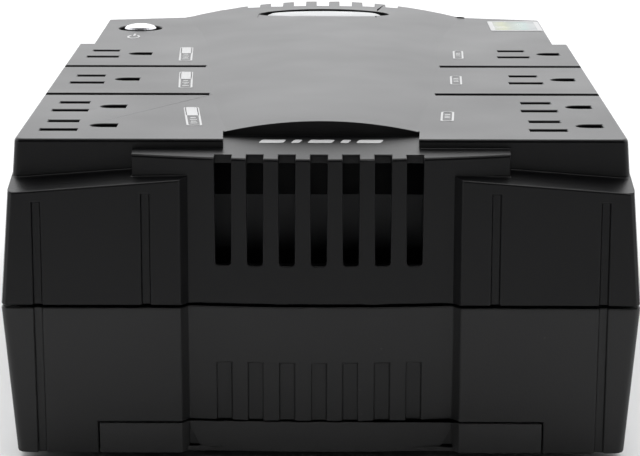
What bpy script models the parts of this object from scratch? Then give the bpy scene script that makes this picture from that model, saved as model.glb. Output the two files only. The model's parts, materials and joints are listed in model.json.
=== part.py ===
"""A desktop uninterruptible power supply with eight outlets on top.

Sizes are in millimetres, and each mesh is made in metres. Depth is measured from the front edge of the
outlet panels towards the back; MIDDLE is the depth that becomes y = 0. The floor is z = 0.
"""

import math

import bmesh
import bpy
from mathutils import Matrix, Vector

MM = 0.001
MIDDLE = 130.0
GAP = 0.3

# Outside of the case
FRONT = -10.0
BACK = 266.0
BASE_BOTTOM = 2.0
BASE_TOP = 42.2
SHELL_BOTTOM = 42.9
PANEL_TOP = 85.0
DECK_START = 167.4
BODY_BACK = 231.0
HALF_SEAM = 83.3
HALF_FLOOR = 80.3
HALF_TOP = 80.0
LEAN = 2.5
CORNER = 2.5
RECESS_HALF = 34.5
HOOD_HALF = 49.0
HOOD_RISE = 82.6
HOOD_SLOPE = 0.12
LIP_DEPTH = 11.0
CROWN = 2.7
ROOF = 79.6
SHOULDER_ROOF = 68.5

# Spine: half its width at each depth
SPINE = [
    (11.0, 26.0),
    (40.0, 29.2),
    (69.0, 32.4),
    (120.0, 36.0),
    (165.0, 38.4),
    (195.0, 42.5),
    (215.0, 46.5),
    (262.0, 50.0),
]

# Vents
SLOTS = 7
SLOT_PITCH = 8.28
SLOT_SHIFT = -0.5
SLOT_WIDTH = 4.0
SLOT_FLARE = 0.014
SLOT_FLOOR = 53.2
FLUTE_TOP = 26.8
FLUTE_DEPTH = 0.8
RIB_DEPTH = 0.9
CURVE_STEPS = 28
SPINE_STEPS = 36

# Outlets: blades are 12.7 mm apart and the earth pin stands 11.9 mm beside them
OUTLET_DEPTHS = (19.7, 48.9, 95.9, 146.0)
OUTLET_X = (("left", -69.8), ("right", 60.3))
BLADE_PITCH = 12.7
EARTH_OFFSET = 11.9
NEUTRAL_LENGTH = 9.9
LIVE_LENGTH = 8.3
BLADE_WIDTH = 3.3
EARTH_RADIUS = 2.5
EARTH_STRETCH = 1.4
PANEL_GROOVES = (69.6, 120.6)
GROOVE_WIDTH = 3.4
GROOVE_FLOOR = 81.8

# Battery and its door
BATTERY = (94.0, 151.0, 65.0)
BATTERY_START = 8.0
DOOR_HALF = 58.3
DOOR_LIP_TOP = 10.4
DOOR_END = 165.5
FLOOR_TOP = 5.0
DOOR_RECESS = 3.5

# Fasteners and supports
POSTS = ((-70.0, 0.5), (70.0, 0.5), (-72.0, 236.0), (72.0, 236.0))
POST_RADIUS = 3.0
POST_BOTTOM = 12.3
STANDOFF_TOP = 11.7
BOARD_HOLES = ((-62.0, 174.0), (-18.0, 174.0), (-62.0, 228.0), (-18.0, 228.0))
TRANSFORMER_HOLES = ((-5.5, 200.0), (69.5, 200.0))
FEET = ((-68.0, 18.0), (68.0, 18.0), (-68.0, 248.0), (68.0, 248.0))

# Power button, badge and rear panel
BUTTON = (-62.8, 203.6)
BADGE = (0.0, 226.0)
PORT_HEIGHT = 56.0
USB_X = -44.5
JACK_XS = (-71.0, -59.0)
BREAKER_X = 48.0
GLAND_X = 68.0


def clear_scene():
    for obj in list(bpy.data.objects):
        bpy.data.objects.remove(obj)


def material(name, colour, roughness, metallic=0.0):
    found = bpy.data.materials.get(name)
    if found:
        return found
    made = bpy.data.materials.new(name)
    made.use_nodes = True
    shader = made.node_tree.nodes["Principled BSDF"]
    shader.inputs["Base Color"].default_value = (*colour, 1.0)
    shader.inputs["Roughness"].default_value = roughness
    shader.inputs["Metallic"].default_value = metallic
    return made


def black_plastic():
    return material("black_plastic", (0.018, 0.018, 0.020), 0.42)


def rubber():
    return material("rubber", (0.012, 0.012, 0.012), 0.9)


def steel():
    return material("steel", (0.55, 0.55, 0.56), 0.35, 1.0)


def brass():
    return material("brass", (0.70, 0.50, 0.20), 0.35, 1.0)


def board_green():
    return material("board_green", (0.02, 0.16, 0.06), 0.5)


def white_plastic():
    return material("white_plastic", (0.75, 0.74, 0.70), 0.5)


# ---------------------------------------------------------------- mesh tools


def point(x, depth, z):
    return Vector((x, depth - MIDDLE, z)) * MM


def loft(mesh, rings):
    """A closed solid through rings of (x, depth, z) with one count of points, its two ends filled."""
    loops = [[mesh.verts.new(point(*corner)) for corner in ring] for ring in rings]
    count = len(loops[0])
    for low, high in zip(loops, loops[1:]):
        for i in range(count):
            j = (i + 1) % count
            mesh.faces.new((low[i], low[j], high[j], high[i]))
    mesh.faces.new(loops[0][::-1])
    mesh.faces.new(loops[-1])


def block(mesh, x0, x1, d0, d1, z0, z1):
    plan = [(x0, d0), (x1, d0), (x1, d1), (x0, d1)]
    loft(mesh, [[(x, d, z) for x, d in plan] for z in (z0, z1)])


def prism(mesh, plan, z0, z1):
    loft(mesh, [[(x, d, z) for x, d in plan] for z in (z0, z1)])


def turned(mesh, centre, profile, sides=24, axis="Z", scale=(1.0, 1.0)):
    """A round solid: profile holds (radius, place along the axis), from one end to the other."""
    rings = []
    for radius, along in profile:
        ring = []
        for i in range(sides):
            angle = 2.0 * math.pi * (i + 0.5) / sides
            u, v = radius * math.cos(angle) * scale[0], radius * math.sin(angle) * scale[1]
            if axis == "Z":
                ring.append((centre[0] + u, centre[1] + v, along))
            else:
                ring.append((centre[0] + u, along, centre[1] + v))
        rings.append(ring)
    loft(mesh, rings)


def finish_mesh(name, mesh, finish, smooth=True):
    bmesh.ops.recalc_face_normals(mesh, faces=mesh.faces)
    data = bpy.data.meshes.new(name)
    mesh.to_mesh(data)
    mesh.free()
    if finish:
        data.materials.append(finish)
    if smooth:
        data.shade_smooth()
        data.set_sharp_from_angle(angle=math.radians(32.0))
    obj = bpy.data.objects.new(name, data)
    bpy.context.scene.collection.objects.link(obj)
    return obj


def solid(name, finish, *makers):
    """One object from functions that each add closed shapes to a mesh; the shapes are joined."""
    first = None
    for make in makers:
        mesh = bmesh.new()
        make(mesh)
        piece = finish_mesh(name if first is None else name + "_add", mesh, finish)
        first = piece if first is None else combine(first, piece, "UNION")
    return first


def combine(obj, other, operation):
    """Joins or cuts obj with other, keeps the result in obj and removes other."""
    change = obj.modifiers.new(operation.lower(), "BOOLEAN")
    change.operation = operation
    change.solver = "EXACT"
    change.object = other
    bpy.context.view_layer.update()
    graph = bpy.context.evaluated_depsgraph_get()
    data = bpy.data.meshes.new_from_object(obj.evaluated_get(graph))
    obj.modifiers.clear()
    obj.data = data
    bpy.data.objects.remove(other)
    data.shade_smooth()
    data.set_sharp_from_angle(angle=math.radians(32.0))
    return obj


def cut(obj, *makers):
    for make in makers:
        mesh = bmesh.new()
        make(mesh)
        combine(obj, finish_mesh("cutter", mesh, None, smooth=False), "DIFFERENCE")
    return obj


def put_origin(obj, x, depth, z):
    """Moves the object's origin to a point, and leaves its shape where it is."""
    place = point(x, depth, z)
    obj.data.transform(Matrix.Translation(-place))
    obj.location = place


# ------------------------------------------------------- shared case geometry


def half_width(z):
    if z >= BASE_TOP:
        return HALF_SEAM - (HALF_SEAM - HALF_TOP) * (z - BASE_TOP) / (PANEL_TOP - BASE_TOP)
    return HALF_SEAM - (HALF_SEAM - HALF_FLOOR) * (BASE_TOP - z) / (BASE_TOP - BASE_BOTTOM)


def rounded_plan(x0, x1, d0, d1, radius=CORNER, steps=3):
    plan = []
    corners = ((x1, d1, 0), (x0, d1, 90), (x0, d0, 180), (x1, d0, 270))
    for x, d, start in corners:
        cx = x - radius if x == x1 else x + radius
        cd = d - radius if d == d1 else d + radius
        for i in range(steps + 1):
            angle = math.radians(start + 90.0 * i / steps)
            plan.append((cx + radius * math.cos(angle), cd + radius * math.sin(angle)))
    return plan


def front_bulge(x):
    """Depth of the centre face at the front: it stands proudest in the middle."""
    return -9.2 + 4.2 * (x / HOOD_HALF) ** 2


def back_bulge(x):
    """Depth of the centre face at the back, at the spine's height."""
    return 258.0 - 0.0112 * x * x


def across(half, count):
    return [half * (2.0 * i / count - 1.0) for i in range(count + 1)]


def lean_in(z):
    """How far the base's two ends have moved inwards at height z."""
    return LEAN * max(0.0, (BASE_TOP - z) / (BASE_TOP - BASE_BOTTOM))


def case_plan(z, inset=0.0):
    """Outline at height z: shoulders at the corners, and a shallow recess in the middle of each end."""
    lean = lean_in(z) + inset
    half = half_width(z) - inset
    near = FRONT + lean
    front = []
    for i in range(4):
        angle = math.radians(180.0 + 30.0 * i)
        front.append((CORNER - half + CORNER * math.cos(angle), near + CORNER * (1.0 + math.sin(angle))))
    front.append((-RECESS_HALF - 2.0, near))
    for x in across(RECESS_HALF, CURVE_STEPS):
        front.append((x, front_bulge(x) + lean))
    front.append((RECESS_HALF + 2.0, near))
    for i in range(4):
        angle = math.radians(270.0 + 30.0 * i)
        front.append((half - CORNER + CORNER * math.cos(angle), near + CORNER * (1.0 + math.sin(angle))))
    back = [(-x, FRONT + BACK - d) for x, d in front]
    return front + back


def spine_half(depth):
    for (d0, h0), (d1, h1) in zip(SPINE, SPINE[1:]):
        if depth <= d1:
            return h0 + (h1 - h0) * (depth - d0) / (d1 - d0)
    return SPINE[-1][1]


def spine_rings(floor):
    """Arched rings of the spine, from its lip at the front to past its curved back edge."""
    rings = []
    for depth, half in SPINE:
        ring = [(-half, depth, floor), (half, depth, floor)]
        rise = CROWN if depth < DECK_START else CROWN - 0.6 * (depth - DECK_START) / (258.0 - DECK_START)
        for x in reversed(across(half, SPINE_STEPS)):
            ring.append((x, depth, PANEL_TOP - 0.15 + (rise + 0.25) * (1.0 - (x / half) ** 2)))
        rings.append(ring)
    return rings


def shoulder_height(x, depth, back):
    if back:
        return 77.0 - 0.08 * (depth - 222.0) - 0.04 * (abs(x) - 38.0)
    return 76.2 - 0.0778 * (abs(x) - 35.0) + 0.204 * (depth - FRONT)


def shoulder(side, back):
    """A corner block of the cover, its top falling outwards and away from the case."""
    near, far = (BACK, 215.0) if back else (FRONT, 6.0)
    turn = -1.0 if back else 1.0

    def plan(z):
        half = half_width(z)
        points = [(RECESS_HALF, near + 2.8 * turn), (RECESS_HALF + 2.0, near)]
        for i in range(4):
            angle = math.radians(30.0 * i)
            x = half - CORNER + CORNER * math.sin(angle)
            points.append((x, near + turn * CORNER * (1.0 - math.cos(angle))))
        points += [(half, far), (RECESS_HALF, far)]
        return points if side > 0 else [(-x, d) for x, d in points]

    def make(mesh):
        low = [(x, d, SHELL_BOTTOM) for x, d in plan(SHELL_BOTTOM)]
        high = [(x, d, shoulder_height(x, d, back)) for x, d in plan(73.5)]
        loft(mesh, [low, high])

    return make


def slot_row(d0, d1, z0, z1, width=SLOT_WIDTH, flare=SLOT_FLARE):
    """A row of upright slots with rounded feet, each a little wider at its top."""

    def make(mesh):
        foot = width / 2.0
        top = foot + flare * (z1 - z0) / 2.0
        for i in range(SLOTS):
            x = SLOT_SHIFT + (i - (SLOTS - 1) / 2.0) * SLOT_PITCH
            outline = [(x + top, z1), (x - top, z1)]
            for u, rise in ((-1.0, 0.9), (-0.9, 0.35), (-0.6, 0.0), (0.6, 0.0), (0.9, 0.35), (1.0, 0.9)):
                outline.append((x + u * foot, z0 + rise))
            loft(mesh, [[(u, d, z) for u, z in outline] for d in (d0, d1)])

    return make


def outlet_holes(x, z0, z1, grow=0.0):
    """Two blade slots and a D-shaped earth hole at each outlet of one column."""

    def make(mesh):
        for depth in OUTLET_DEPTHS:
            for offset, length in ((-BLADE_PITCH / 2.0, NEUTRAL_LENGTH), (BLADE_PITCH / 2.0, LIVE_LENGTH)):
                half, width = length / 2.0 + grow, BLADE_WIDTH / 2.0 + grow
                middle = depth + offset
                block(mesh, x - half, x + half, middle - width, middle + width, z0, z1)
            prism(mesh, earth_plan(x + EARTH_OFFSET, depth, grow), z0, z1)

    return make


def earth_plan(x, depth, grow):
    radius = EARTH_RADIUS + grow
    plan = [(x + 3.1 + grow, depth - radius), (x + 3.1 + grow, depth + radius)]
    for i in range(9):
        angle = math.radians(90.0 + 22.5 * i)
        plan.append((x - 0.6 + EARTH_STRETCH * radius * math.cos(angle), depth + radius * math.sin(angle)))
    return plan


# --------------------------------------------------------------- the cover


def main_body(mesh):
    rings = []
    for z in (SHELL_BOTTOM, PANEL_TOP - 0.6, PANEL_TOP):
        half = half_width(z) - (0.4 if z == PANEL_TOP else 0.0)
        edge = 0.4 if z == PANEL_TOP else 0.0
        rings.append([(x, d, z) for x, d in rounded_plan(-half, half, edge, BODY_BACK - edge)])
    loft(mesh, rings)


def hood_height(depth):
    return HOOD_RISE + HOOD_SLOPE * depth


def front_centre(mesh):
    plan = [(x, front_bulge(x)) for x in across(HOOD_HALF, CURVE_STEPS)]
    plan += [(HOOD_HALF, 13.0), (-HOOD_HALF, 13.0)]
    low = [(x, d, SHELL_BOTTOM) for x, d in plan]
    edge = [(x, d, hood_height(d) - 0.5) for x, d in plan]
    high = [(x, d + (0.5 if d < 10.0 else 0.0), hood_height(d)) for x, d in plan]
    loft(mesh, [low, edge, high])


def back_centre(mesh):
    xs = across(HOOD_HALF, CURVE_STEPS)[::-1]
    low = [(x, FRONT + BACK - front_bulge(x), SHELL_BOTTOM) for x in xs]
    high = [(x, back_bulge(x), PANEL_TOP - 0.1) for x in xs]
    ends = [(-HOOD_HALF, 215.0), (HOOD_HALF, 215.0)]
    low += [(x, d, SHELL_BOTTOM) for x, d in ends]
    high += [(x, d, PANEL_TOP - 0.1) for x, d in ends]
    loft(mesh, [low, high])


def hood_trough(mesh):
    """Clears the top between the two front panels, down to a hair under the hood's slope."""
    plan = [(-24.9, -12.0), (24.9, -12.0), (26.0, LIP_DEPTH + 0.5), (-26.0, LIP_DEPTH + 0.5)]
    loft(mesh, [[(x, d, hood_height(d) - 0.08) for x, d in plan], [(x, d, 95.0) for x, d in plan]])


def panel_gaps(mesh):
    for side in (-1.0, 1.0):
        for depth in PANEL_GROOVES:
            inner = spine_half(depth + GROOVE_WIDTH / 2.0) + 0.1
            x0, x1 = sorted((side * inner, side * 90.0))
            near, far = depth - GROOVE_WIDTH / 2.0, depth + GROOVE_WIDTH / 2.0
            block(mesh, x0, x1, near, far, GROOVE_FLOOR, 95.0)


def deck_sides(mesh):
    """Chamfers the two sides behind the last panels."""
    for side in (-1.0, 1.0):
        low = [(80.9, 73.5), (95.0, 73.5), (95.0, 96.0), (75.0, 96.0), (75.0, PANEL_TOP)]
        rings = [[(side * x, d, z) for x, z in low] for d in (DECK_START, 250.0)]
        loft(mesh, rings)


def deck_back(mesh):
    for side in (-1.0, 1.0):
        plan = [(46.0, 230.6), (85.0, 222.0), (85.0, 240.0), (46.0, 240.0)]
        prism(mesh, [(side * x, d) for x, d in plan], 60.0, 95.0)


def spine_body(mesh):
    loft(mesh, spine_rings(80.0))


def spine_back(mesh):
    """Everything behind the spine's curved back edge."""
    edge = [(x, back_bulge(x) - 0.2) for x in across(54.0, 18)]
    prism(mesh, edge + [(54.0, 275.0), (-54.0, 275.0)], 70.0, 95.0)


def shoulder_ribs(mesh):
    for x in (-73.5, -45.3, 45.3, 73.5):
        top = shoulder_height(x, FRONT, False) - 3.0
        block(mesh, x - 1.1, x + 1.1, FRONT - 2.0, FRONT + RIB_DEPTH, SHELL_BOTTOM - 2.0, top)


def main_cavity(mesh):
    low = rounded_plan(-80.2, 80.2, 2.8, 222.0)
    high = rounded_plan(-76.9, 76.9, 2.8, 222.0)
    loft(mesh, [[(x, d, 38.0) for x, d in low], [(x, d, ROOF) for x, d in high]])


def front_cavity(mesh):
    block(mesh, -78.0, 78.0, -5.5, 4.0, 38.0, 69.5)


def front_centre_cavity(mesh):
    """Opens the front slots to the inside, up to just under the hood."""
    block(mesh, -33.0, 33.0, -5.5, 4.0, 60.0, ROOF)


def back_cavities(mesh):
    for side in (-1.0, 1.0):
        x0, x1 = sorted((side * 37.5, side * 78.5))
        block(mesh, x0, x1, 220.0, 262.5, 38.0, SHOULDER_ROOF)


def back_low_cavity(mesh):
    block(mesh, -78.0, 78.0, 219.0, 242.0, 37.0, SHOULDER_ROOF - 1.0)


def back_centre_cavity(mesh):
    block(mesh, -33.0, 33.0, 220.0, 246.0, 38.0, 81.0)


def cover_posts(mesh):
    for x, depth in POSTS:
        top = 71.0 if depth < 100 else 70.0
        turned(mesh, (x, depth), [(POST_RADIUS, POST_BOTTOM), (POST_RADIUS, top)], 16)


def board_pegs(mesh):
    for x in (BUTTON[0] - 9.0, BUTTON[0] + 9.0):
        turned(mesh, (x, BUTTON[1]), [(2.2, 68.2), (2.2, ROOF + 1.5)], 12)


def post_holes(mesh):
    for x, depth in POSTS:
        turned(mesh, (x, depth), [(1.75, 5.0), (1.75, 28.0)], 12)


def button_hole(mesh):
    turned(mesh, BUTTON, [(7.4, 70.0), (7.4, 95.0)], 32)


def badge_recess(mesh):
    turned(mesh, BADGE, [(1.0, 84.9), (1.0, 95.0)], 40, scale=(22.8, 9.6))


def rear_holes(mesh):
    block(mesh, USB_X - 6.3, USB_X + 6.3, 255.0, 275.0, PORT_HEIGHT - 5.8, PORT_HEIGHT + 5.8)
    middle = sum(JACK_XS) / 2.0
    block(mesh, middle - 12.8, middle + 12.8, 255.0, 275.0, PORT_HEIGHT - 7.3, PORT_HEIGHT + 7.3)
    turned(mesh, (BREAKER_X, PORT_HEIGHT), [(5.3, 255.0), (5.3, 275.0)], 24, axis="Y")
    turned(mesh, (GLAND_X, PORT_HEIGHT), [(6.6, 255.0), (6.6, 275.0)], 24, axis="Y")


def make_cover():
    cover = solid("top_cover", black_plastic(), main_body)
    cut(cover, deck_sides, deck_back)
    pieces = [front_centre, back_centre]
    pieces += [shoulder(side, back) for side in (-1, 1) for back in (False, True)]
    for make in pieces:
        combine(cover, solid("add", black_plastic(), make), "UNION")
    cut(cover, hood_trough)
    combine(cover, cut(solid("add", black_plastic(), spine_body), spine_back), "UNION")
    cut(cover, panel_gaps, shoulder_ribs)
    cut(cover, main_cavity, front_cavity, front_centre_cavity)
    cut(cover, back_cavities, back_low_cavity, back_centre_cavity)
    combine(cover, solid("add", black_plastic(), cover_posts), "UNION")
    combine(cover, solid("add", black_plastic(), board_pegs), "UNION")
    cut(cover, post_holes, slot_row(-14.0, -5.0, SLOT_FLOOR, 95.0), slot_row(245.0, 275.0, 55.0, 95.0))
    cut(cover, button_hole, badge_recess, rear_holes)
    for _, x in OUTLET_X:
        cut(cover, outlet_holes(x, 70.0, 95.0))


# ---------------------------------------------------------- base and door


def base_body(mesh):
    loft(mesh, [[(x, d, z) for x, d in case_plan(z)] for z in (BASE_BOTTOM, BASE_TOP)])


def base_cavity(mesh):
    low = rounded_plan(-76.6, 76.6, -2.4, 258.4)
    high = rounded_plan(-80.2, 80.2, -5.0, 261.0)
    loft(mesh, [[(x, d, FLOOR_TOP) for x, d in low], [(x, d, BASE_TOP + 1.0) for x, d in high]])


def base_supports(mesh):
    for x, depth in POSTS:
        turned(mesh, (x, depth), [(4.6, 4.0), (4.6, POST_BOTTOM - GAP)], 16)
    for x, depth in BOARD_HOLES + TRANSFORMER_HOLES:
        turned(mesh, (x, depth), [(3.0, 4.0), (3.0, STANDOFF_TOP)], 14)


def base_screw_holes(mesh):
    for x, depth in POSTS:
        turned(mesh, (x, depth), [(3.6, -1.0), (3.6, 7.0)], 16)
    for x, depth in BOARD_HOLES + TRANSFORMER_HOLES:
        turned(mesh, (x, depth), [(1.6, 6.0), (1.6, 20.0)], 12)
    for x, depth in FEET:
        turned(mesh, (x, depth), [(6.4, -1.0), (6.4, DOOR_RECESS)], 20)


def base_shank_holes(mesh):
    for x, depth in POSTS:
        turned(mesh, (x, depth), [(1.75, 5.0), (1.75, 20.0)], 12)


def door_opening(mesh):
    half = DOOR_HALF + GAP
    block(mesh, -half, half, -14.0, -4.7, -2.0, DOOR_LIP_TOP + GAP)


def door_rebate(mesh):
    half = DOOR_HALF + GAP
    block(mesh, -half, half, -14.0, DOOR_END + GAP, -2.0, DOOR_RECESS)


def battery_opening(mesh):
    block(mesh, -49.0, 49.0, 6.0, 161.0, -2.0, FLOOR_TOP + 1.0)


def base_flutes(mesh):
    """Seven shallow flutes under the vents."""
    half = SLOT_WIDTH / 2.0
    for i in range(SLOTS):
        x = SLOT_SHIFT + (i - (SLOTS - 1) / 2.0) * SLOT_PITCH
        rings = []
        for z in (DOOR_LIP_TOP - 1.0, FLUTE_TOP):
            face = max(front_bulge(x - half), front_bulge(x + half)) + lean_in(z)
            near, far = face - 4.0, face + FLUTE_DEPTH
            plan = [(x - half, near), (x + half, near), (x + half, far), (x - half, far)]
            rings.append([(px, d, z) for px, d in plan])
        loft(mesh, rings)


def base_ribs(mesh):
    for x in (-73.5, 73.5):
        rings = []
        for z, lean in ((BASE_BOTTOM - 1.0, LEAN), (BASE_TOP + 1.0, 0.0)):
            far = FRONT + lean + RIB_DEPTH
            plan = [(x - 1.1, -14.0), (x + 1.1, -14.0), (x + 1.1, far), (x - 1.1, far)]
            rings.append([(px, d, z) for px, d in plan])
        loft(mesh, rings)


def make_base():
    base = solid("base_tray", black_plastic(), base_body)
    cut(base, base_cavity)
    combine(base, solid("add", black_plastic(), base_supports), "UNION")
    cut(base, base_screw_holes, base_shank_holes, door_opening, door_rebate, battery_opening)
    cut(base, base_flutes, base_ribs)


def door_lip_outside(mesh):
    loft(mesh, [[(x, d, z) for x, d in case_plan(z)] for z in (BASE_BOTTOM, DOOR_LIP_TOP)])


def make_door():
    door = solid("battery_door", black_plastic(), door_lip_outside)
    mesh = bmesh.new()
    block(mesh, -DOOR_HALF, DOOR_HALF, -14.0, -5.0, -1.0, DOOR_LIP_TOP + 1.0)
    combine(door, finish_mesh("keep", mesh, None, smooth=False), "INTERSECT")

    def plate(mesh):
        block(mesh, -DOOR_HALF, DOOR_HALF, -5.6, DOOR_END, BASE_BOTTOM, DOOR_RECESS - GAP)

    combine(door, solid("add", black_plastic(), plate), "UNION")
    put_origin(door, 0.0, 0.0, BASE_BOTTOM)


# ------------------------------------------------------ outlets and contacts


def make_outlets():
    for name, x in OUTLET_X:
        x0, x1 = (-76.4, -51.6) if x < 0 else (53.0, 76.4)

        def body(mesh, x0=x0, x1=x1):
            block(mesh, x0, x1, 6.0, 163.0, 67.0, ROOF - GAP)

        cut(solid("outlet_block_" + name, white_plastic(), body), outlet_holes(x, 60.0, 90.0, 0.2))
        rails = (
            ("neutral_bar_", x - 4.7, x - 2.7, x - 4.7, x + 1.6, -BLADE_PITCH / 2.0),
            ("live_bar_", x + 2.4, x + 4.4, x - 1.9, x + 4.4, BLADE_PITCH / 2.0),
            ("earth_bar_", x + EARTH_OFFSET - 1.0, x + EARTH_OFFSET + 2.0, x + EARTH_OFFSET - 2.2,
             x + EARTH_OFFSET + 3.2, 0.0),
        )
        for rail, r0, r1, c0, c1, offset in rails:
            gap = 2.6 if rail.startswith("earth") else 1.0

            def strip(mesh, r0=r0, r1=r1):
                block(mesh, r0, r1, 9.0, 160.0, 57.0, 58.2)

            def clips(mesh, c0=c0, c1=c1, offset=offset, gap=gap):
                for depth in OUTLET_DEPTHS:
                    for side in (-1.0, 1.0):
                        near = depth + offset + side * gap
                        d0, d1 = sorted((near, near + side * 0.8))
                        block(mesh, c0, c1, d0, d1, 57.4, 66.6)

            solid(rail + name, brass(), strip, clips)


# ------------------------------------------------------------------ battery


def make_battery():
    width, length, height = BATTERY
    z0, z1 = DOOR_RECESS + 0.2, DOOR_RECESS + 0.2 + height
    grey = material("battery_case", (0.10, 0.11, 0.12), 0.55)
    split = width / 2.0 - 9.0

    def case(mesh):
        block(mesh, -width / 2.0, split, BATTERY_START, BATTERY_START + length, z0, z1)

    def lid(mesh):
        block(mesh, split + GAP, width / 2.0, BATTERY_START, BATTERY_START + length, z0, z1)

    solid("battery_case", grey, case)
    solid("battery_lid", material("battery_lid", (0.03, 0.03, 0.03), 0.6), lid)
    for name, depth in (("positive", BATTERY_START + 12.0), ("negative", BATTERY_START + length - 12.0)):

        def tab(mesh, depth=depth):
            block(mesh, width / 2.0 + GAP, width / 2.0 + 6.6, depth - 3.2, depth + 3.2, z1 - 20.0, z1 - 19.2)

        def foot(mesh, depth=depth):
            block(mesh, width / 2.0 + GAP, width / 2.0 + 1.1, depth - 4.5, depth + 4.5, z1 - 24.0, z1 - 15.0)

        solid("battery_terminal_" + name, steel(), foot, tab)


# -------------------------------------------------------------- electronics


def make_board():
    def board(mesh):
        block(mesh, -66.0, -14.0, 170.0, 244.0, 12.0, 13.6)

    def holes(mesh):
        for x, depth in BOARD_HOLES:
            turned(mesh, (x, depth), [(1.9, 10.0), (1.9, 16.0)], 12)

    cut(solid("main_board", board_green(), board), holes)

    def sink_base(mesh):
        block(mesh, -56.0, -24.0, 184.0, 187.0, 13.9, 46.0)

    def fins(mesh):
        for i in range(6):
            x = -55.0 + 6.0 * i
            block(mesh, x - 0.7, x + 0.7, 186.0, 196.0, 13.9, 46.0)

    solid("heat_sink", material("aluminium", (0.72, 0.73, 0.74), 0.4, 1.0), sink_base, fins)
    dark = material("relay_black", (0.02, 0.02, 0.03), 0.45)
    for i, x in enumerate((-54.0, -36.0)):

        def can(mesh, x=x):
            turned(mesh, (x, 215.0), [(7.4, 13.9), (8.0, 14.6), (8.0, 38.0), (7.4, 38.8)], 20)

        solid(f"capacitor_{i + 1}", material("capacitor_blue", (0.03, 0.05, 0.22), 0.4), can)


    for i, x in enumerate((-48.0, -31.5)):

        def relay(mesh, x=x):
            block(mesh, x - 7.5, x + 7.5, 229.0, 241.0, 13.9, 29.0)

        solid(f"relay_{i + 1}", dark, relay)

    def buzzer(mesh):
        turned(mesh, (-22.0, 206.0), [(6.0, 13.9), (6.0, 21.0)], 20)

    solid("buzzer", dark, buzzer)
    for i, (x, depth) in enumerate(BOARD_HOLES):
        make_screw(f"board_screw_{i + 1}", x, depth, 13.9, 1, 2.8, 1.3, 6.6)


def make_transformer():
    centre, depth = 32.0, TRANSFORMER_HOLES[0][1]

    def plate(mesh):
        block(mesh, -9.0, 73.0, depth - 12.0, depth + 12.0, 12.0, 14.0)

    def holes(mesh):
        for x, d in TRANSFORMER_HOLES:
            turned(mesh, (x, d), [(1.9, 10.0), (1.9, 16.0)], 12)

    cut(solid("transformer_bracket", steel(), plate), holes)

    def core(mesh):
        block(mesh, centre - 34.0, centre + 34.0, depth - 18.0, depth + 18.0, 14.3, 70.3)

    def windows(mesh):
        for side in (-1.0, 1.0):
            x0, x1 = sorted((centre + side * 11.0, centre + side * 23.0))
            block(mesh, x0, x1, depth - 30.0, depth + 30.0, 25.0, 60.0)

    iron = material("transformer_iron", (0.16, 0.15, 0.14), 0.55, 0.7)
    cut(solid("transformer_core", iron, core), windows)

    def coil(mesh):
        block(mesh, centre - 22.5, centre + 22.5, depth - 28.0, depth + 28.0, 25.5, 59.5)

    def middle(mesh):
        block(mesh, centre - 11.4, centre + 11.4, depth - 18.4, depth + 18.4, 20.0, 65.0)

    cut(solid("transformer_coil", material("winding_tape", (0.55, 0.42, 0.10), 0.5), coil), middle)
    for i, (x, d) in enumerate(TRANSFORMER_HOLES):
        make_screw(f"transformer_screw_{i + 1}", x, d, 14.3, 1, 3.0, 1.3, 6.6)


def make_screw(name, x, depth, seat, way, head, shank, end):
    """A pan-head screw: way is +1 where its head is on top, and -1 where it goes in from below."""
    rise = 1.9 * way
    edge, crown = (head, seat + 0.6 * rise), (head * 0.7, seat + rise)
    profile = [(shank, end), (shank, seat), (head, seat), edge, crown]
    if way < 0:
        profile = profile[::-1]

    def make(mesh):
        turned(mesh, (x, depth), profile, 14)

    solid(name, steel(), make)


def make_fasteners():
    for i, (x, depth) in enumerate(POSTS):
        make_screw(f"case_screw_{i + 1}", x, depth, 6.7, -1, 3.2, 1.4, 26.0)
    for i, (x, depth) in enumerate(FEET):

        def foot(mesh, x=x, depth=depth):
            turned(mesh, (x, depth), [(5.4, 0.0), (6.0, 0.5), (6.0, DOOR_RECESS - GAP)], 20)

        solid(f"rubber_foot_{i + 1}", rubber(), foot)


# ------------------------------------------------------- button and badge


def make_button():
    chrome = material("silver_trim", (0.75, 0.75, 0.76), 0.22, 1.0)

    def ring(mesh):
        turned(mesh, BUTTON, [(7.1, 80.6), (7.1, 82.6), (6.7, 83.0)], 32)

    def bore(mesh):
        turned(mesh, BUTTON, [(5.8, 70.0), (5.8, 82.4), (6.2, 90.0)], 32)

    cut(solid("button_ring", black_plastic(), ring), bore)

    def cap(mesh):
        turned(mesh, BUTTON, [(5.4, 79.0), (5.4, 85.0), (4.8, 85.7), (3.2, 86.2), (1.4, 86.4)], 32)

    def stem(mesh):
        turned(mesh, BUTTON, [(1.6, 75.5), (1.6, 80.0)], 12)

    button = solid("power_button", chrome, cap, stem)
    put_origin(button, BUTTON[0], BUTTON[1], 86.4)

    def board(mesh):
        block(mesh, BUTTON[0] - 12.0, BUTTON[0] + 12.0, BUTTON[1] - 7.0, BUTTON[1] + 7.0, 66.3, 67.9)

    def switch(mesh):
        block(mesh, BUTTON[0] - 3.0, BUTTON[0] + 3.0, BUTTON[1] - 3.0, BUTTON[1] + 3.0, 68.2, 72.6)

    def well(mesh):
        turned(mesh, BUTTON, [(2.0, 69.0), (2.0, 80.0)], 12)

    solid("button_board", board_green(), board)
    cut(solid("button_switch", material("switch_black", (0.02, 0.02, 0.02), 0.5), switch), well)

    def plunger(mesh):
        turned(mesh, BUTTON, [(1.6, 71.0), (1.6, 75.2)], 12)

    put_origin(solid("switch_plunger", white_plastic(), plunger), BUTTON[0], BUTTON[1], 75.2)


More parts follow.
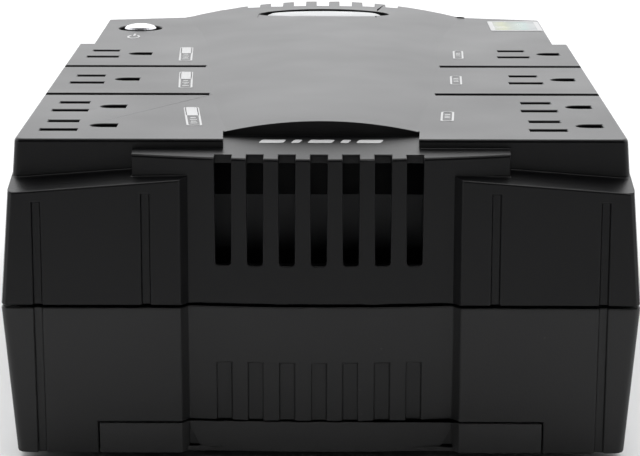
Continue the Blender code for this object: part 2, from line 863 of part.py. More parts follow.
def make_badge():
    def plate(mesh):
        profile = [(1.0, 85.2), (1.0, 86.4), (0.93, 86.9), (0.6, 87.2), (0.2, 87.3)]
        turned(mesh, BADGE, profile, 40, scale=(19.8, 7.9))

    solid("badge_plate", material("silver_badge", (0.72, 0.72, 0.73), 0.3, 1.0), plate)


# -------------------------------------------------------------- rear panel


def make_rear():
    metal = steel()

    def usb(mesh):
        block(mesh, USB_X - 6.0, USB_X + 6.0, 250.0, 266.4, PORT_HEIGHT - 5.5, PORT_HEIGHT + 5.5)

    def usb_mouth(mesh):
        block(mesh, USB_X - 4.2, USB_X + 4.2, 256.5, 270.0, PORT_HEIGHT - 3.9, PORT_HEIGHT + 3.9)

    def usb_tongue(mesh):
        block(mesh, USB_X - 2.8, USB_X + 2.8, 256.0, 265.0, PORT_HEIGHT - 1.6, PORT_HEIGHT + 1.6)

    port = cut(solid("usb_port", metal, usb), usb_mouth)
    combine(port, solid("add", metal, usb_tongue), "UNION")
    middle = sum(JACK_XS) / 2.0

    def jacks(mesh):
        block(mesh, middle - 12.5, middle + 12.5, 248.0, 266.4, PORT_HEIGHT - 7.0, PORT_HEIGHT + 7.0)

    def jack_mouths(mesh):
        for x in JACK_XS:
            block(mesh, x - 5.0, x + 5.0, 253.0, 270.0, PORT_HEIGHT - 3.6, PORT_HEIGHT + 3.8)

    def latch_mouths(mesh):
        for x in JACK_XS:
            block(mesh, x - 2.0, x + 2.0, 253.0, 270.0, PORT_HEIGHT - 5.4, PORT_HEIGHT - 3.0)

    cut(solid("line_jacks", black_plastic(), jacks), jack_mouths, latch_mouths)

    spot = (BREAKER_X, PORT_HEIGHT)

    def breaker_case(mesh):
        block(mesh, BREAKER_X - 7.0, BREAKER_X + 7.0, 236.0, 261.0, PORT_HEIGHT - 9.0, PORT_HEIGHT + 9.0)

    def neck(mesh):
        turned(mesh, spot, [(5.0, 260.0), (5.0, 268.8)], 24, axis="Y")

    def breaker_bore(mesh):
        turned(mesh, spot, [(3.5, 257.0), (3.5, 275.0)], 20, axis="Y")

    breaker_black = material("breaker_black", (0.02, 0.02, 0.02), 0.5)
    cut(solid("breaker_body", breaker_black, breaker_case, neck), breaker_bore)

    def nut(mesh):
        turned(mesh, spot, [(7.6, 266.3), (7.6, 268.3)], 6, axis="Y")

    def nut_bore(mesh):
        turned(mesh, spot, [(5.3, 260.0), (5.3, 275.0)], 24, axis="Y")

    cut(solid("breaker_nut", metal, nut), nut_bore)

    def breaker_button(mesh):
        turned(mesh, spot, [(3.1, 257.6), (3.1, 269.4), (2.6, 270.0)], 20, axis="Y")

    button_white = material("breaker_white", (0.70, 0.70, 0.68), 0.45)
    put_origin(solid("breaker_button", button_white, breaker_button), BREAKER_X, 270.0, PORT_HEIGHT)

    gland_spot = (GLAND_X, PORT_HEIGHT)

    def gland(mesh):
        profile = [(7.6, 259.0), (6.3, 262.2), (6.3, 266.3), (8.4, 266.3), (8.4, 267.8), (7.0, 269.8)]
        turned(mesh, gland_spot, profile, 24, axis="Y")

    def gland_bore(mesh):
        turned(mesh, gland_spot, [(4.0, 250.0), (4.0, 275.0)], 20, axis="Y")

    cut(solid("cord_gland", rubber(), gland), gland_bore)


def main():
    clear_scene()
    make_cover()
    make_base()
    make_door()
    make_outlets()
    make_battery()
    make_board()
    make_transformer()
    make_fasteners()
    make_button()
    make_badge()
    make_rear()


main()
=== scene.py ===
import json
import math
import bmesh
import bpy
import numpy as np
from mathutils import Matrix, Vector


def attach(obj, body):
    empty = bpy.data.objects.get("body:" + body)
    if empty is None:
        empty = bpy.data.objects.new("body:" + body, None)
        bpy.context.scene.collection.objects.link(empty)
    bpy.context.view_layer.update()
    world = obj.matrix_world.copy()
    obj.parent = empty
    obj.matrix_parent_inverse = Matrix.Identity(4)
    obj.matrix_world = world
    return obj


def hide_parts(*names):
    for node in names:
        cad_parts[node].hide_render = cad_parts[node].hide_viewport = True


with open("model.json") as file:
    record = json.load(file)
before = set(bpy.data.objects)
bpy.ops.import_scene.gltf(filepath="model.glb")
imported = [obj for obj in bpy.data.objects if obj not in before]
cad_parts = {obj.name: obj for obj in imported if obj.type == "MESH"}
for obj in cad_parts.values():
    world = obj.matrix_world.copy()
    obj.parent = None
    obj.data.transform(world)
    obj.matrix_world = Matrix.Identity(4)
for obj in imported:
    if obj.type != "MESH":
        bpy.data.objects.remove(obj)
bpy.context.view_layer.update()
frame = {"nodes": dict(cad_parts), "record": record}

nodes = frame["nodes"]
bodyOf = {node: body for body, names in frame["record"]["behaviour"]["bodies"].items() for node in names}
slotOf = {part["node"]: part["material_slot"] for part in frame["record"]["subparts"]}

mm = 0.001
print("frame loaded:", len(nodes), "nodes")


def newGroup(name, inputs, outputs):
    group = bpy.data.node_groups.new(name, "ShaderNodeTree")
    for label, value in inputs:
        kind = "NodeSocketColor" if isinstance(value, tuple) else "NodeSocketFloat"
        socket = group.interface.new_socket(name=label, in_out="INPUT", socket_type=kind)
        socket.default_value = value
    for label, kind in outputs:
        group.interface.new_socket(name=label, in_out="OUTPUT", socket_type=kind)
    return group, group.nodes.new("NodeGroupInput"), group.nodes.new("NodeGroupOutput")


def addNode(tree, kind, settings=(), links=(), values=()):
    node = tree.nodes.new(kind)
    for key, value in settings:
        setattr(node, key, value)
    for key, value in values:
        node.inputs[key].default_value = value
    for key, source in links:
        tree.links.new(source, node.inputs[key])
    return node


def noiseNode(tree, vector, scale, detail=3.0, roughness=0.55):
    return addNode(tree, "ShaderNodeTexNoise", links=[("Vector", vector)],
                   values=[("Scale", scale), ("Detail", detail), ("Roughness", roughness)])


def mathNode(tree, operation, links, values=()):
    return addNode(tree, "ShaderNodeMath", [("operation", operation)], links, values).outputs[0]


def wandering(group, inp, noise, spread):
    # the group's own roughness, up to half the spread duller or glossier where the noise says
    wander = mathNode(group, "MULTIPLY_ADD", [(0, noise.outputs["Fac"])], [(1, spread), (2, -0.5 * spread)])
    return mathNode(group, "ADD", [(0, inp.outputs["Roughness"]), (1, wander)])


moulded = {
    "slowScale": 28.0,
    "grainScale": 2600.0,
    "pebbleScale": 1500.0,
    "speckScale": 210.0,
    "speckSize": 0.09,
    "dustyFrom": (0.58, 0.68),
    "dustColor": (0.5, 0.49, 0.46, 1.0),
    "shadeBase": 0.92,
    "roughWander": 0.10,
}


def makeMouldedGroup():
    # spark-eroded mould texture: fine pebbles, slow colour drift, and a few pale dust specks
    group, inp, out = newGroup("mouldedSurface",
                               [("Base", (0.02, 0.02, 0.02, 1.0)), ("Roughness", 0.4), ("Drift", 0.15),
                                ("Dust", 0.02)],
                               [("Color", "NodeSocketColor"), ("Roughness", "NodeSocketFloat"),
                                ("Height", "NodeSocketFloat")])
    place = group.nodes.new("ShaderNodeTexCoord").outputs["Object"]
    slow = noiseNode(group, place, moulded["slowScale"], 2.0)
    fine = noiseNode(group, place, moulded["grainScale"], 2.0, 0.7)
    pebble = addNode(group, "ShaderNodeTexVoronoi", links=[("Vector", place)],
                     values=[("Scale", moulded["pebbleScale"])])
    speck = addNode(group, "ShaderNodeTexVoronoi", links=[("Vector", place)],
                    values=[("Scale", moulded["speckScale"])])
    speckMask = addNode(group, "ShaderNodeMapRange", links=[("Value", speck.outputs["Distance"])],
                        values=[("From Max", moulded["speckSize"]), ("To Min", 1.0), ("To Max", 0.0)])
    dustyFrom, dustyTo = moulded["dustyFrom"]
    keep = addNode(group, "ShaderNodeMapRange", links=[("Value", slow.outputs["Fac"])],
                   values=[("From Min", dustyFrom), ("From Max", dustyTo)])
    dustMask = mathNode(group, "MULTIPLY", [(0, speckMask.outputs[0]), (1, keep.outputs[0])])
    dust = mathNode(group, "MULTIPLY", [(0, dustMask), (1, inp.outputs["Dust"])])
    shade = mathNode(group, "MULTIPLY_ADD", [(0, slow.outputs["Fac"]), (1, inp.outputs["Drift"])],
                     [(2, moulded["shadeBase"])])
    toned = addNode(group, "ShaderNodeMix", [("data_type", "RGBA"), ("blend_type", "MULTIPLY")],
                    [(6, inp.outputs["Base"]), (7, shade)], [(0, 1.0)])
    dusty = addNode(group, "ShaderNodeMix", [("data_type", "RGBA")],
                    [(0, dust), (6, toned.outputs[2])], [(7, moulded["dustColor"])])
    group.links.new(dusty.outputs[2], out.inputs["Color"])
    group.links.new(wandering(group, inp, slow, moulded["roughWander"]), out.inputs["Roughness"])
    bumps = mathNode(group, "ADD", [(0, fine.outputs["Fac"]), (1, pebble.outputs["Distance"])])
    group.links.new(bumps, out.inputs["Height"])
    return group


metal = {
    "lineScale": (40.0, 2200.0, 2200.0),  # long along X, fine across it
    "patchScale": 140.0,
    "patchTone": (0.3, 0.83),
    "roughWander": 0.24,
}


def makeMetalGroup():
    # metal with fine scratches along one axis and patches of duller finish
    group, inp, out = newGroup("metalSurface",
                               [("Base", (0.6, 0.6, 0.6, 1.0)), ("Roughness", 0.3)],
                               [("Color", "NodeSocketColor"), ("Roughness", "NodeSocketFloat"),
                                ("Height", "NodeSocketFloat")])
    place = group.nodes.new("ShaderNodeTexCoord").outputs["Object"]
    stretched = addNode(group, "ShaderNodeVectorMath", [("operation", "MULTIPLY")],
                        [(0, place)], [(1, metal["lineScale"])])
    lines = noiseNode(group, stretched.outputs[0], 1.0, 2.0)
    patch = noiseNode(group, place, metal["patchScale"])
    spread, least = metal["patchTone"]
    tone = mathNode(group, "MULTIPLY_ADD", [(0, patch.outputs["Fac"])], [(1, spread), (2, least)])
    toned = addNode(group, "ShaderNodeMix", [("data_type", "RGBA"), ("blend_type", "MULTIPLY")],
                    [(6, inp.outputs["Base"]), (7, tone)], [(0, 1.0)])
    group.links.new(toned.outputs[2], out.inputs["Color"])
    group.links.new(wandering(group, inp, patch, metal["roughWander"]), out.inputs["Roughness"])
    group.links.new(lines.outputs["Fac"], out.inputs["Height"])
    return group


groups = {"moulded": makeMouldedGroup(), "metal": makeMetalGroup()}


def makeMaterial(name, spec):
    material = bpy.data.materials.new(name)
    material.use_nodes = True
    tree = material.node_tree
    shader = tree.nodes["Principled BSDF"]
    surface = tree.nodes.new("ShaderNodeGroup")
    surface.node_tree = groups[spec.get("group", "moulded")]
    surface.inputs["Base"].default_value = (*spec["color"], 1.0)
    surface.inputs["Roughness"].default_value = spec["roughness"]
    for key in ("Drift", "Dust"):
        if key.lower() in spec:
            surface.inputs[key].default_value = spec[key.lower()]
    tree.links.new(surface.outputs["Color"], shader.inputs["Base Color"])
    tree.links.new(surface.outputs["Roughness"], shader.inputs["Roughness"])
    bump = addNode(tree, "ShaderNodeBump", links=[("Height", surface.outputs["Height"])],
                   values=[("Strength", spec.get("bump", 0.1)), ("Distance", spec.get("depth", 0.0001))])
    tree.links.new(bump.outputs["Normal"], shader.inputs["Normal"])
    shader.inputs["Metallic"].default_value = spec.get("metallic", 0.0)
    shader.inputs["IOR"].default_value = spec.get("ior", 1.5)
    shader.inputs["Coat Weight"].default_value = spec.get("coat", 0.0)
    shader.inputs["Coat Roughness"].default_value = 0.1
    return material


finishes = {
    "case_black": dict(color=(0.0032, 0.0032, 0.0036), roughness=0.36, ior=1.28, bump=0.10, depth=0.00008,
                       dust=0.10),
    "base_black": dict(color=(0.0110, 0.0110, 0.0112), roughness=0.46, ior=1.37, bump=0.14, depth=0.00010,
                       dust=0.10),
    # the door's black is base_black made lighter: painted light that lifts the lip out of the shade it gets
    # close to the floor
    "door_black_painted_light": dict(color=(0.0190, 0.0190, 0.0192), roughness=0.46, ior=1.40, bump=0.14, depth=0.00010,
                       dust=0.10),
    "outlet_insulator": dict(color=(0.012, 0.012, 0.012), roughness=0.55, bump=0.1),
    "battery_grey": dict(color=(0.020, 0.021, 0.023), roughness=0.55, bump=0.15),
    "battery_black": dict(color=(0.012, 0.012, 0.012), roughness=0.55, bump=0.15),
    "zinc_steel": dict(group="metal", color=(0.55, 0.55, 0.56), roughness=0.34, metallic=1.0, bump=0.12),
    "contact_brass": dict(group="metal", color=(0.70, 0.48, 0.20), roughness=0.34, metallic=1.0, bump=0.12),
    "circuit_board": dict(color=(0.02, 0.16, 0.06), roughness=0.42, coat=0.4, bump=0.05),
    "aluminium_fins": dict(group="metal", color=(0.72, 0.73, 0.74), roughness=0.40, metallic=1.0, bump=0.2),
    "capacitor_sleeve": dict(color=(0.03, 0.05, 0.22), roughness=0.28, coat=0.5, bump=0.05),
    "component_black": dict(color=(0.014, 0.014, 0.016), roughness=0.45, bump=0.15),
    "core_iron": dict(group="metal", color=(0.16, 0.15, 0.14), roughness=0.55, metallic=0.8, bump=0.3),
    "winding_tape": dict(color=(0.55, 0.40, 0.08), roughness=0.45, bump=0.2),
    "rubber_black": dict(color=(0.010, 0.010, 0.010), roughness=0.85, bump=0.3, drift=0.3),
    "breaker_white": dict(color=(0.62, 0.62, 0.60), roughness=0.42, bump=0.08),
    "silver_trim": dict(group="metal", color=(0.52, 0.52, 0.54), roughness=0.24, metallic=1.0, bump=0.03),
    "badge_silver": dict(group="metal", color=(0.26, 0.265, 0.27), roughness=0.30, metallic=0.85, bump=0.05),
}
materials = {name: makeMaterial(name, spec) for name, spec in finishes.items()}
print("materials made:", len(materials))

rounding = {
    "roundAngle": 28.0,  # edges bent by more than this are rounded
    "creaseAngle": 3.0,  # and a level top meets a curved one in a clean line from here
    "creaseArea": 3e-4,
    "levelNormal": 0.9999,
    "leastAngle": 6.0,  # narrower corners get less rounding
    "leastShare": 0.1,
    "room": 0.45,  # how much of a neighbouring edge the rounding may use up
    "segments": 3,
    "mergeGap": 2e-6,
    "flatAngle": 0.05,
}


def columns(source, key, kind=float, width=1):
    # one attribute of every item as an array
    values = np.empty(len(source) * width, kind)
    source.foreach_get(key, values)
    return values.reshape(-1, width) if width > 1 else values


def edgeShares(data, width):
    # share = min(1, room * shortest edge nearby / width) on each edge bent by more than roundAngle, else 0,
    # and less again where a face comes to a narrower point than leastAngle
    ends = columns(data.edges, "vertices", np.int32, 2)
    place = columns(data.vertices, "co", width=3)
    length = np.linalg.norm(place[ends[:, 0]] - place[ends[:, 1]], axis=1)
    shortest = np.full(len(place), 1.0)
    np.minimum.at(shortest, ends[:, 0], length)
    np.minimum.at(shortest, ends[:, 1], length)
    corners = columns(data.loops, "vertex_index", np.int32)
    totals = columns(data.polygons, "loop_total", np.int32)
    first = np.repeat(np.cumsum(totals) - totals, totals)
    step = np.arange(len(corners)) - first
    size = np.repeat(totals, totals)
    onward = place[corners[first + (step + 1) % size]] - place[corners]
    backward = place[corners[first + (step - 1) % size]] - place[corners]
    cosine = (onward * backward).sum(1) / np.linalg.norm(onward, axis=1) / np.linalg.norm(backward, axis=1)
    sharpest = np.full(len(place), math.pi)
    np.minimum.at(sharpest, corners, np.arccos(np.clip(cosine, -1.0, 1.0)))
    normals = columns(data.polygons, "normal", width=3)
    faceOf = np.repeat(np.arange(len(totals)), totals)
    order = np.argsort(columns(data.loops, "edge_index", np.int32), kind="stable")
    pairs = faceOf[order].reshape(-1, 2)
    bend = np.arccos(np.clip((normals[pairs[:, 0]] * normals[pairs[:, 1]]).sum(1), -1.0, 1.0))
    near = np.minimum(shortest[ends[:, 0]], shortest[ends[:, 1]])
    narrow = np.minimum(sharpest[ends[:, 0]], sharpest[ends[:, 1]])
    share = np.minimum(1.0, rounding["room"] * near / width)
    share *= np.clip(narrow / math.radians(rounding["leastAngle"]), rounding["leastShare"], 1.0)
    rounded = bend > math.radians(rounding["roundAngle"])
    areas = columns(data.polygons, "area")
    level = (normals[:, 2] > rounding["levelNormal"]) & (areas > rounding["creaseArea"])
    crease = (bend > math.radians(rounding["creaseAngle"])) & ~rounded & level[pairs].any(1)
    return np.where(rounded, share, 0.0), crease


def finishedCopy(name, node, finish, width):
    # the solid's own mesh, merged and cleared of flat seams, with its edges rounded as far as each has room
    mesh = bmesh.new()
    mesh.from_mesh(nodes[node].data)
    bmesh.ops.remove_doubles(mesh, verts=mesh.verts, dist=rounding["mergeGap"])
    flatAngle = math.radians(rounding["flatAngle"])
    bmesh.ops.dissolve_limit(mesh, angle_limit=flatAngle, verts=mesh.verts, edges=mesh.edges)
    data = bpy.data.meshes.new(name)
    mesh.to_mesh(data)
    mesh.free()
    piece = bpy.data.objects.new(name, data)
    bpy.context.scene.collection.objects.link(piece)
    data.materials.append(materials[finish])
    data.shade_smooth()
    weights, crease = edgeShares(data, width)
    shares = data.attributes.new("bevel_weight_edge", "FLOAT", "EDGE")
    shares.data.foreach_set("value", weights.astype(np.float32))
    sharp = data.attributes.new("sharp_edge", "BOOLEAN", "EDGE")
    sharp.data.foreach_set("value", crease)
    bevel = piece.modifiers.new("roundedEdges", "BEVEL")
    bevel.width = width
    bevel.segments = rounding["segments"]
    bevel.limit_method = "WEIGHT"
    bevel.use_clamp_overlap = False
    bevel.loop_slide = False
    bevel.miter_outer = "MITER_SHARP"
    flatten = piece.modifiers.new("flatFaces", "WEIGHTED_NORMAL")
    flatten.mode = "FACE_AREA"
    flatten.weight = 100
    flatten.keep_sharp = True
    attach(piece, bodyOf[node])
    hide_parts(node)
    print(name, "edges rounded:", int((weights > 0.5).sum()), "creased:", int(crease.sum()))


for node, obj in nodes.items():
    obj.data.materials.clear()
    obj.data.materials.append(materials[slotOf[node]])

shells = {
    "top_cover": ("coverShell", "case_black", 0.45 * mm),
    "base_tray": ("trayShell", "base_black", 0.40 * mm),
    # the door shell takes the lighter, painted-light copy of the base black
    "battery_door": ("doorShell", "door_black_painted_light", 0.30 * mm),
}
for node, (name, finish, width) in shells.items():
    finishedCopy(name, node, finish, width)
print("case shells finished")

# depths on the top are in mm, from the outlet panels' front edge, which lies this far in front of the middle
frontDepth = 130.0
inkHeight = (0.0, 0.05)  # mm below and above the surface


def pieceFrom(name, verts, faces, material, slot):
    # a closed mesh with its faces turned outwards
    data = bpy.data.meshes.new(name)
    data.from_pydata(verts.tolist(), [], faces)
    data.validate()
    mesh = bmesh.new()
    mesh.from_mesh(data)
    bmesh.ops.recalc_face_normals(mesh, faces=mesh.faces)
    mesh.to_mesh(data)
    mesh.free()
    piece = bpy.data.objects.new(name, data)
    bpy.context.scene.collection.objects.link(piece)
    data.materials.append(material)
    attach(piece, "case")


def roundedOutline(width, length, corner, count=10):
    # four quarter circles of radius r round the corners (+-(w/2 - r), +-(l/2 - r))
    angle = np.linspace(0.0, 0.5 * math.pi, count)
    quarter = np.arange(4)[:, None] * 0.5 * math.pi + angle[None, :]
    signX = np.array([1.0, -1.0, -1.0, 1.0])[:, None]
    signY = np.array([1.0, 1.0, -1.0, -1.0])[:, None]
    x = signX * (0.5 * width - corner) + corner * np.cos(quarter)
    y = signY * (0.5 * length - corner) + corner * np.sin(quarter)
    return np.stack([x.ravel(), y.ravel()], 1)


def laid(points, height, lift):
    # (x, depth) in mm to metres on the surface z = height(depth), lifted clear of it
    z = height(points[:, 1]) + lift
    return np.stack([points[:, 0], points[:, 1] - frontDepth, z], 1) * mm


def slanted(outline, centre, lean):
    # moved to centre and sheared sideways by lean for each mm of depth
    return outline + np.stack([outline[:, 1] * lean, np.zeros(len(outline))], 1) + np.array(centre)


def inkRing(centre, size, corner, line, height, lift=inkHeight, lean=0.0):
    # a rectangular profile (inner/outer, low/high) carried round a rounded outline
    outer = slanted(roundedOutline(*size, corner), centre, lean)
    inner = roundedOutline(size[0] - 2 * line, size[1] - 2 * line, max(corner - line, 0.15))
    inner = slanted(inner, centre, lean)
    rings = [laid(inner, height, lift[0]), laid(outer, height, lift[0]),
             laid(outer, height, lift[1]), laid(inner, height, lift[1])]
    verts = np.stack(rings, 1).reshape(-1, 3)
    count = len(outer)
    i, j = np.meshgrid(np.arange(count), np.arange(4), indexing="ij")
    nextI, nextJ = (i + 1) % count, (j + 1) % 4
    faces = np.stack([i * 4 + j, nextI * 4 + j, nextI * 4 + nextJ, i * 4 + nextJ], -1).reshape(-1, 4)
    return verts, faces.tolist()


def inkPatch(centre, size, corner, height, lift=inkHeight, lean=0.0):
    # a rounded outline raised by a hair, closed below and above; lean slants it like italics
    outline = slanted(roundedOutline(*size, corner, 5), centre, lean)
    low, high = laid(outline, height, lift[0]), laid(outline, height, lift[1])
    count = len(outline)
    i = np.arange(count)
    sides = np.stack([i, (i + 1) % count, (i + 1) % count + count, i + count], 1).tolist()
    return np.concatenate([low, high]), sides + [list(range(count))[::-1], list(range(count, 2 * count))]


def joined(parts):
    # several (points, faces) as one
    verts, faces, start = [], [], 0
    for points, polygons in parts:
        verts.append(points)
        faces += [[corner + start for corner in polygon] for polygon in polygons]
        start += len(points)
    return np.concatenate(verts), faces


def topHeight(depth):
    # the outlet panels and the deck behind them are level
    return np.full_like(depth, 85.0)


def hoodHeight(depth):
    # the hood over the front vents rises towards the back
    return 82.52 + 0.12 * depth


inks = {
    "whiteInk": dict(color=(0.42, 0.42, 0.42), roughness=0.45, bump=0.03, drift=0.25, dust=0.0),
}
materials.update({name: makeMaterial(name, spec) for name, spec in inks.items()})

outletTags = {
    # middle, width and lean of each tag, front to back
    "leftX": ((-35.25, 4.2, -0.088), (-40.8, 4.1, -0.050), (-43.7, 4.2, -0.042)),
    "rightX": ((34.4, 3.6, 0.06), (39.8, 3.5, 0.04), (43.0, 3.3, 0.04)),
    "leftDepth": ((19.4, 47.7), (80.2, 109.6), (131.2, 159.5)),
    "rightDepth": ((26.6, 41.0), (86.7, 102.4), (136.3, 152.6)),
    "corner": 1.1,
    "line": 0.55,
    # the filled block at the far end of a left tag
    "filledShare": 0.46,
    "filledGap": 0.3,
    "filledMargin": 0.7,
    "filledCorner": 0.8,
    # small bars: how far along the tag, and how much of its width
    "leftBars": ((0.12, 0.46), (0.22, 0.36), (0.32, 0.46), (0.42, 0.36)),
    "rightBars": ((0.34, 0.42), (0.50, 0.42), (0.66, 0.42)),
    "barLength": 1.2,
    "barCorner": 0.3,
}


def tagParts(side, x, width, lean, near, far):
    # a rounded frame with its patches, each patch moved sideways by lean for its depth
    spec = outletTags
    middle, length = 0.5 * (near + far), far - near
    patches = [(near + share * length, (width * across, spec["barLength"]), spec["barCorner"])
               for share, across in spec[side + "Bars"]]
    if side == "left":
        filled = length * spec["filledShare"]
        filledSize = (width - spec["filledMargin"], filled)
        patches.insert(0, (far - 0.5 * filled - spec["filledGap"], filledSize, spec["filledCorner"]))
    border = inkRing((x, middle), (width, length), spec["corner"], spec["line"], topHeight, lean=lean)
    return [border] + [inkPatch((x + lean * (depth - middle), depth), size, corner, topHeight, lean=lean)
                       for depth, size, corner in patches]


def makeOutletTags():
    for side in ("left", "right"):
        rows = zip(outletTags[side + "X"], outletTags[side + "Depth"])
        for row, (across, depths) in enumerate(rows, 1):
            parts = tagParts(side, *across, *depths)
            pieceFrom(f"outletTag{side.title()}{row}", *joined(parts), materials["whiteInk"], "breaker_white")


hoodStripes = {
    "widths": (6.4, 2.2, 6.4, 2.2, 6.4),
    "gap": 2.1,
    "depth": 6.1,
    "length": 2.6,
    "corner": 0.5,
    "lean": 0.35,
}


def makeHoodStripes():
    # a row of slanted dashes, wide and narrow by turns
    spec = hoodStripes
    widths = np.array(spec["widths"])
    starts = np.concatenate([[0.0], np.cumsum(widths + spec["gap"])[:-1]])
    centres = starts + 0.5 * widths - 0.5 * (starts[-1] + widths[-1])
    parts = [inkPatch((x, spec["depth"]), (w, spec["length"]), spec["corner"], hoodHeight, lean=spec["lean"])
             for x, w in zip(centres, widths)]
    pieceFrom("hoodStripes", *joined(parts), materials["whiteInk"], "breaker_white")


powerSign = {
    "centre": (-63.5, 183.0),
    "inner": (1.5, 3.0),  # half width and half depth of the ring's two edges
    "outer": (2.1, 4.2),
    "arc": (125.0, 415.0),  # degrees, open at the back
    "points": 36,
    "strokeCentre": (-63.5, 187.2),
    "strokeSize": (0.7, 5.0),
    "strokeCorner": 0.2,
}


def makePowerSign():
    # the plain power sign: an open ring, stretched in depth, with a stroke through its gap
    spec = powerSign
    angle = np.linspace(*np.radians(spec["arc"]), spec["points"])
    circle = np.stack([np.cos(angle), np.sin(angle)], 1)
    loop = np.concatenate([circle * spec["outer"], (circle * spec["inner"])[::-1]]) + spec["centre"]
    low, high = (laid(loop, topHeight, lift) for lift in inkHeight)
    count, half = len(loop), len(angle)
    i = np.arange(count)
    faces = np.stack([i, (i + 1) % count, (i + 1) % count + count, i + count], 1).tolist()
    k = np.arange(half - 1)
    top = np.stack([k, k + 1, count - 2 - k, count - 1 - k], 1) + count
    faces += top.tolist() + (top[:, ::-1] - count).tolist()
    ring = (np.concatenate([low, high]), faces)
    stroke = inkPatch(spec["strokeCentre"], spec["strokeSize"], spec["strokeCorner"], topHeight)
    pieceFrom("powerSign", *joined([ring, stroke]), materials["whiteInk"], "breaker_white")


sticker = {
    "x": (57.0, 74.6),
    "depth": (198.0, 221.0),
    "border": 1.6,
    "corner": 1.0,
    "borderHeight": (0.0, 0.08),
    "faceHeight": (0.0, 0.06),
    "faceCorner": 0.5,
    "overlap": 0.3,  # how far the face reaches under the border, both sides together
    "cloudScale": 160.0,
    "cloudShift": 0.35,  # how far the clouds push the bands sideways
    "roughness": (0.25, 0.18),
    "metallic": 0.35,
    "bands": ((0.20, (0.10, 0.12, 0.10)), (0.45, (0.17, 0.19, 0.05)), (0.62, (0.09, 0.13, 0.09)),
              (0.85, (0.07, 0.16, 0.14)), (1.0, (0.13, 0.15, 0.15))),
}


def makeStickerMaterial():
    # foil with soft bands of yellow, green and pale blue across it
    material = bpy.data.materials.new("stickerFoil")
    material.use_nodes = True
    tree = material.node_tree
    shader = tree.nodes["Principled BSDF"]
    place = tree.nodes.new("ShaderNodeTexCoord").outputs["Object"]
    parts = addNode(tree, "ShaderNodeSeparateXYZ", links=[("Vector", place)])
    along = addNode(tree, "ShaderNodeMapRange", links=[("Value", parts.outputs["X"])],
                    values=[("From Min", sticker["x"][0] * mm), ("From Max", sticker["x"][1] * mm)])
    cloud = noiseNode(tree, place, sticker["cloudScale"], 2.0)
    mixed = mathNode(tree, "MULTIPLY_ADD", [(0, cloud.outputs["Fac"]), (2, along.outputs[0])],
                     [(1, sticker["cloudShift"])])
    ramp = addNode(tree, "ShaderNodeValToRGB", links=[("Fac", mixed)])
    bands = ramp.color_ramp
    while len(bands.elements) < len(sticker["bands"]):
        bands.elements.new(0.5)
    for element, (position, color) in zip(bands.elements, sticker["bands"]):
        element.position = position
        element.color = (*color, 1.0)
    tree.links.new(ramp.outputs["Color"], shader.inputs["Base Color"])
    spread, least = sticker["roughness"]
    rough = mathNode(tree, "MULTIPLY_ADD", [(0, cloud.outputs["Fac"])], [(1, spread), (2, least)])
    tree.links.new(rough, shader.inputs["Roughness"])
    shader.inputs["Metallic"].default_value = sticker["metallic"]
    return material


def makeSticker():
    spec = sticker
    x0, x1 = spec["x"]
    d0, d1 = spec["depth"]
    centre, size = (0.5 * (x0 + x1), 0.5 * (d0 + d1)), (x1 - x0, d1 - d0)
    border = inkRing(centre, size, spec["corner"], spec["border"], topHeight, spec["borderHeight"])
    pieceFrom("stickerBorder", *border, materials["whiteInk"], "breaker_white")
    inside = tuple(side - 2 * spec["border"] + spec["overlap"] for side in size)
    patch = inkPatch(centre, inside, spec["faceCorner"], topHeight, spec["faceHeight"])
    pieceFrom("stickerFace", *patch, makeStickerMaterial(), "badge_silver")


makeOutletTags()
makeHoodStripes()
makePowerSign()
makeSticker()
print("printed marks laid")


def aim(obj, target):
    direction = Vector(target) - obj.location
    obj.rotation_euler = direction.to_track_quat("-Z", "Y").to_euler()


lamps = {
    "topSoftbox": dict(place=(0.0, 0.9, 1.3), target=(0.0, 0.2, 0.0), size=(1.6, 1.2), power=10.0,
                       spread=180.0),
    "floorWash": dict(place=(0.0, -0.27, 0.55), target=(0.0, -0.27, 0.0), size=(0.9, 0.12), power=0.35,
                      spread=50.0),
}


def areaLight(name, spec):
    data = bpy.data.lights.new(name, "AREA")
    data.shape = "RECTANGLE"
    data.size, data.size_y = spec["size"]
    data.energy = spec["power"]
    data.spread = math.radians(spec["spread"])
    light = bpy.data.objects.new(name, data)
    bpy.context.scene.collection.objects.link(light)
    light.location = spec["place"]
    aim(light, spec["target"])


studio = {
    "camera": (0.00261, -0.74127, 0.20115),
    "pitch": 12.881,
    "yaw": 0.2685,
    "roll": 0.064,
    "lens": 134.64,
    "backBright": 1.98,
    "frontDim": 0.03,
    "seenBright": 1.05,
    "brightEdge": 0.35,  # the light grows from front to back between these two sides of the middle
    "skyColor": (0.985, 0.99, 1.0, 1.0),
    "floorHalf": 3.0,
    "floorCells": 12,
    "floorDrop": 0.0002,
    "floorColor": (0.86, 0.86, 0.86, 1.0),
    "floorRoughness": 0.9,
}


def makeCamera():
    data = bpy.data.cameras.new("camera")
    data.lens = studio["lens"]
    data.sensor_width = 36.0
    camera = bpy.data.objects.new("camera", data)
    bpy.context.scene.collection.objects.link(camera)
    turn = Matrix.Rotation(math.radians(studio["yaw"]), 4, "Z")
    tilt = Matrix.Rotation(math.radians(90.0 - studio["pitch"]), 4, "X")
    roll = Matrix.Rotation(math.radians(studio["roll"]), 4, "Z")
    camera.matrix_world = Matrix.Translation(studio["camera"]) @ turn @ tilt @ roll
    bpy.context.scene.camera = camera


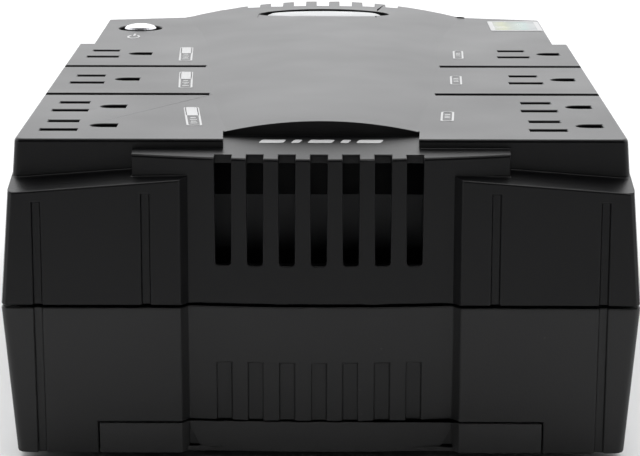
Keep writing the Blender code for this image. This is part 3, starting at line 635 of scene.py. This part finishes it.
def makeWorld():
    # light that grows from front to back, while the camera sees one even white
    world = bpy.data.worlds.new("studioWorld")
    world.use_nodes = True
    bpy.context.scene.world = world
    tree = world.node_tree
    place = tree.nodes.new("ShaderNodeTexCoord").outputs["Generated"]
    parts = addNode(tree, "ShaderNodeSeparateXYZ", links=[("Vector", place)])
    level = addNode(tree, "ShaderNodeMapRange", [("interpolation_type", "SMOOTHSTEP")],
                    [("Value", parts.outputs["Y"])],
                    [("From Min", -studio["brightEdge"]), ("From Max", studio["brightEdge"]),
                     ("To Min", studio["frontDim"]), ("To Max", studio["backBright"])])
    direct = tree.nodes.new("ShaderNodeLightPath").outputs["Is Camera Ray"]
    seen = addNode(tree, "ShaderNodeMix", [("data_type", "FLOAT")],
                   [(0, direct), (2, level.outputs[0])], [(3, studio["seenBright"])])
    background = tree.nodes["Background"]
    background.inputs["Color"].default_value = studio["skyColor"]
    tree.links.new(seen.outputs[0], background.inputs["Strength"])


def makeFloor():
    # a flat square grid, far larger than the object
    cells = studio["floorCells"]
    steps = np.linspace(-studio["floorHalf"], studio["floorHalf"], cells + 1)
    x, y = np.meshgrid(steps, steps, indexing="ij")
    verts = np.stack([x, y, np.zeros_like(x)], -1).reshape(-1, 3)
    i, j = np.meshgrid(np.arange(cells), np.arange(cells), indexing="ij")
    a = (i * (cells + 1) + j).ravel()
    faces = np.stack([a, a + cells + 1, a + cells + 2, a + 1], 1)
    data = bpy.data.meshes.new("floor")
    data.from_pydata(verts.tolist(), [], faces.tolist())
    floor = bpy.data.objects.new("floor", data)
    bpy.context.scene.collection.objects.link(floor)
    floor.location = (0.0, 0.0, -studio["floorDrop"])
    material = bpy.data.materials.new("floorPaper")
    material.use_nodes = True
    shader = material.node_tree.nodes["Principled BSDF"]
    shader.inputs["Base Color"].default_value = studio["floorColor"]
    shader.inputs["Roughness"].default_value = studio["floorRoughness"]
    data.materials.append(material)


makeCamera()
makeWorld()
makeFloor()
for name, spec in lamps.items():
    areaLight(name, spec)
bpy.context.scene.view_settings.view_transform = "Standard"
print("studio ready")
